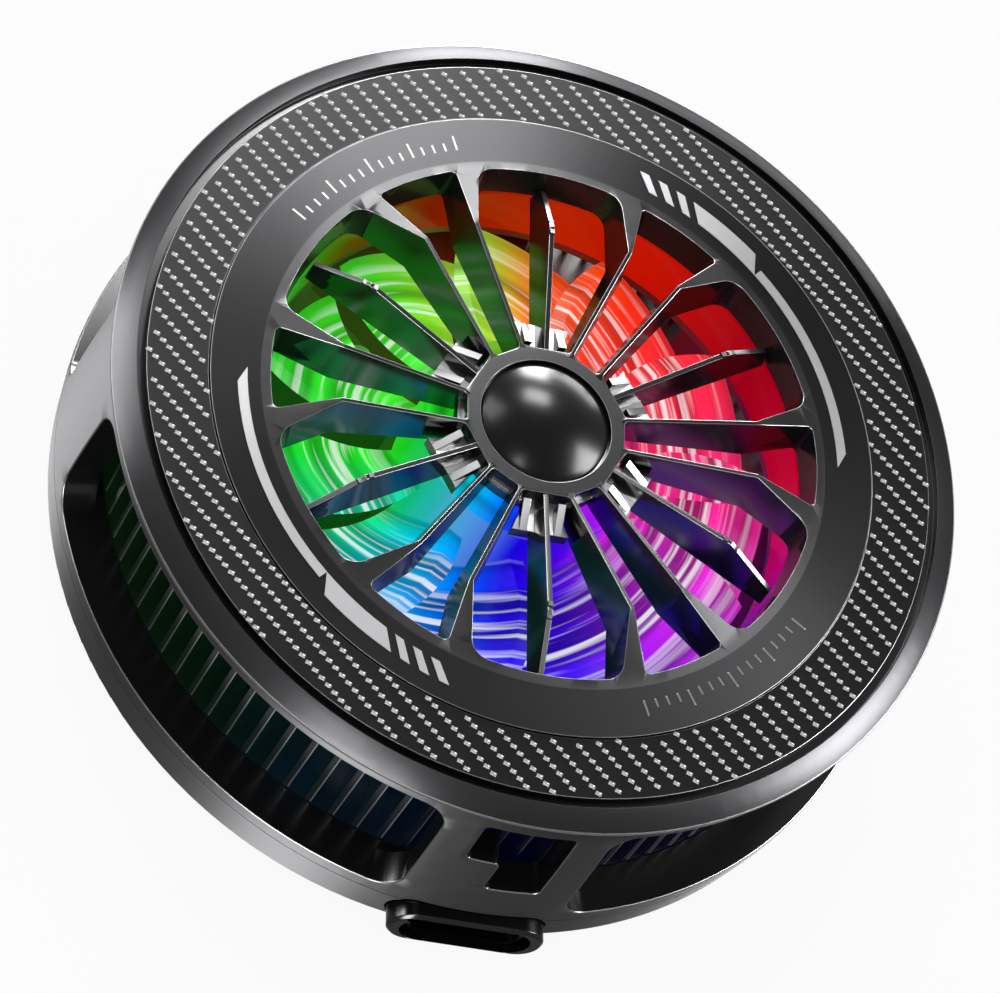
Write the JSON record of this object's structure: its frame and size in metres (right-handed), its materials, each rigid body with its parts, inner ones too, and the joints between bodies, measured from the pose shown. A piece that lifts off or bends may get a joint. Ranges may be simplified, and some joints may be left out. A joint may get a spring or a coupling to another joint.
{
  "type": "phone cooling fan",
  "caption": "Round magnetic cooler for the back of a phone: spoked front grille, lit fan, finned heat sink behind side windows, cold plate and charging socket.",
  "frame": {"origin": "centre of the soft contact face that rests on the phone", "axes": "+Z along the fan axis, out of the phone towards the grille; the charging socket looks along -Y"},
  "size_m": [0.0666, 0.0676, 0.0214],
  "materials": {
    "black_gloss": "polished black, mirror-like",
    "bezel_dark_metal": "polished dark metal",
    "rim_satin": "satin dark grey with thin polished edges",
    "rib_polish": "dark chrome plating",
    "carbon_weave": "black with rows of fine bright beads",
    "cap_gloss": "black piano gloss",
    "foil_silver": "satin silver foil",
    "fan_milky": "milky white, lit by coloured lamps",
    "diffuser_clear": "frosted light guide",
    "lamp_lens": "clear lamp lens",
    "board_green": "green circuit board",
    "chip_black": "moulded black",
    "pad_grey": "soft heat-conducting pad",
    "grip_black": "matt silicone",
    "plate_aluminium": "fine machined",
    "fin_black": "black anodised with bright edges",
    "cell_ceramic": "white alumina",
    "cell_alloy": "grey semiconductor",
    "foam_dark": "closed-cell foam",
    "magnet_plate": "nickel plated",
    "steel_plain": "plain steel",
    "collar_gloss": "polished black with a bright lip",
    "frame_black": "moulded black",
    "bearing_brass": "sintered bronze",
    "washer_white": "low-friction plastic",
    "magnet_black": "bonded magnet",
    "coil_copper": "enamelled copper",
    "lead_red_black": "insulated lead"
  },
  "bodies": {
    "housing": {"base_cover": "black_gloss", "side_shell": "black_gloss", "bezel_ring": "bezel_dark_metal", "carbon_trim_ring": "carbon_weave", "front_grille": "rim_satin", "rib_star": "rib_polish", "hub_cap": "cap_gloss", "foil_stripes": "foil_silver", "grip_ring": "grip_black", "contact_pad": "pad_grey", "cold_plate": "plate_aluminium", "cold_ceramic": "cell_ceramic", "hot_ceramic": "cell_ceramic", "cell_pellets": "cell_alloy", "foam_seal": "foam_dark", "heat_sink": "fin_black", "magnets": "magnet_plate", "magnet_shield": "steel_plain", "port_frame": "collar_gloss", "socket_shell": "steel_plain", "socket_tongue": "chip_black", "main_board": "board_green", "board_parts": "chip_black", "fan_frame": "frame_black", "frame_screws": "steel_plain", "case_screws": "steel_plain", "motor_board": "board_green", "bearing_sleeve": "bearing_brass", "thrust_washer": "washer_white", "stator_core": "steel_plain", "stator_coils": "coil_copper", "light_diffuser": "diffuser_clear", "light_board": "board_green", "lamps": "lamp_lens", "cell_leads": "lead_red_black", "motor_leads": "lead_red_black", "light_leads": "lead_red_black"},
    "rotor": {"fan_impeller": "fan_milky", "rotor_yoke": "steel_plain", "rotor_magnet": "magnet_black", "fan_shaft": "steel_plain", "retaining_clip": "washer_white"}
  },
  "joints": [
    {"name": "fan_spin", "type": "hinge", "parent": "housing", "child": "rotor", "pos_m": [0, 0, 0], "axis": [0, 0, 1], "continuous": true}
  ]
}
